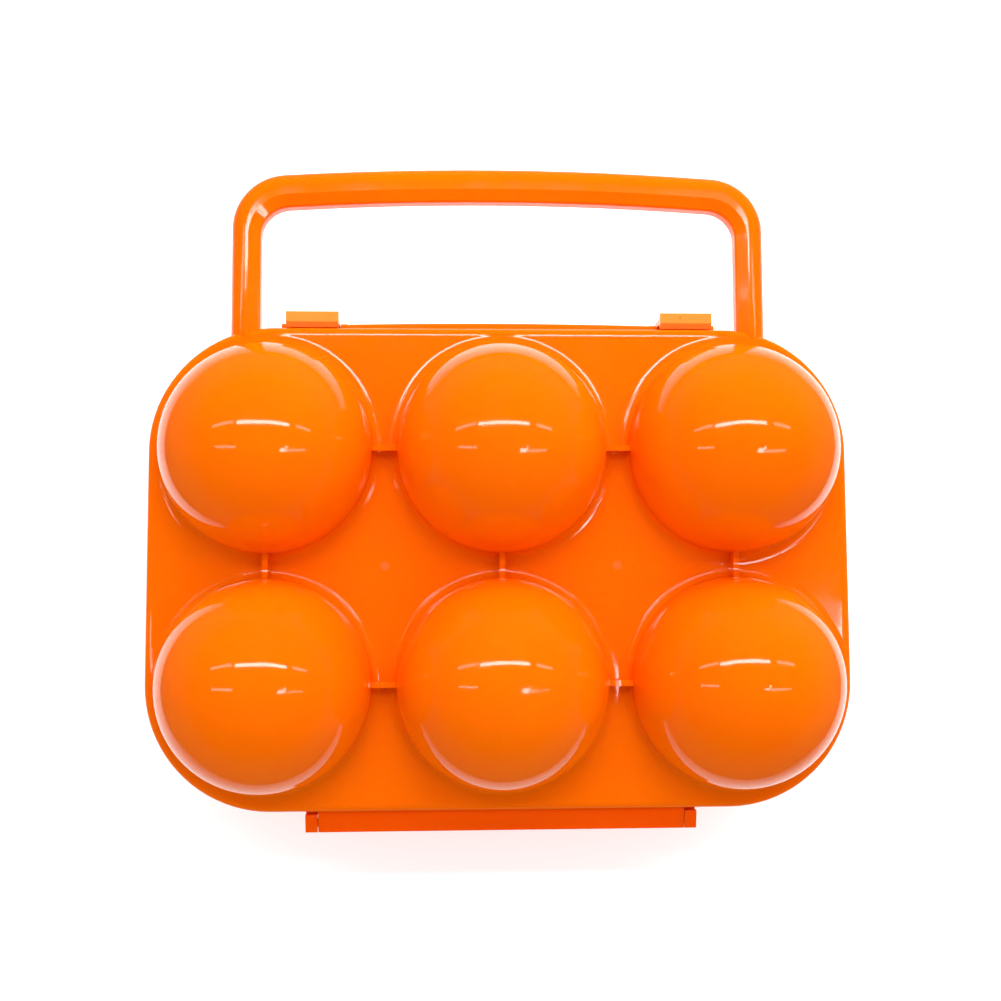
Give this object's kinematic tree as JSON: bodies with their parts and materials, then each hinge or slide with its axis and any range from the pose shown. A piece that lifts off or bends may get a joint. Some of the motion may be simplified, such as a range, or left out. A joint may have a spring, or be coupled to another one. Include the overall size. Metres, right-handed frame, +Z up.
{
  "type": "egg storage box",
  "caption": "Hinged egg carrier with domed egg cups in both moulded halves, a U-shaped carrying handle on the lid and snap latches along its rim.",
  "frame": {"origin": "on the surface the box lies on, under the middle of its overall box", "axes": "+X along the hinge, +Y from the hinge towards the handle, +Z up from the base half to the lid half"},
  "size_m": [0.177, 0.169, 0.0691],
  "materials": {
    "shell_plastic": "glossy moulded orange polypropylene",
    "handle_plastic": "glossy moulded orange polypropylene",
    "latch_plastic": "glossy moulded orange polypropylene",
    "pin_plastic": "plain drawn orange plastic rod"
  },
  "bodies": {
    "base": {"base_shell": "shell_plastic", "hinge_pin": "pin_plastic"},
    "lid": {"lid_shell": "shell_plastic", "carry_handle": "handle_plastic"},
    "left_latch": {"latch_left": "latch_plastic"},
    "right_latch": {"latch_right": "latch_plastic"}
  },
  "joints": [
    {"name": "lid_hinge", "type": "hinge", "parent": "base", "child": "lid", "pos_m": [0, -0.08223, 0.03455], "axis": [1, 0, 0], "range_deg": [0, 180]},
    {"name": "left_latch_flex", "type": "hinge", "parent": "base", "child": "left_latch", "pos_m": [-0.04785, 0.04333, 0.0319], "axis": [-1, 0, 0], "range_deg": [0, 16], "stiffness_Nm_per_rad": 0.05},
    {"name": "right_latch_flex", "type": "hinge", "parent": "base", "child": "right_latch", "pos_m": [0.04785, 0.04333, 0.0319], "axis": [-1, 0, 0], "range_deg": [0, 16], "stiffness_Nm_per_rad": 0.05}
  ]
}
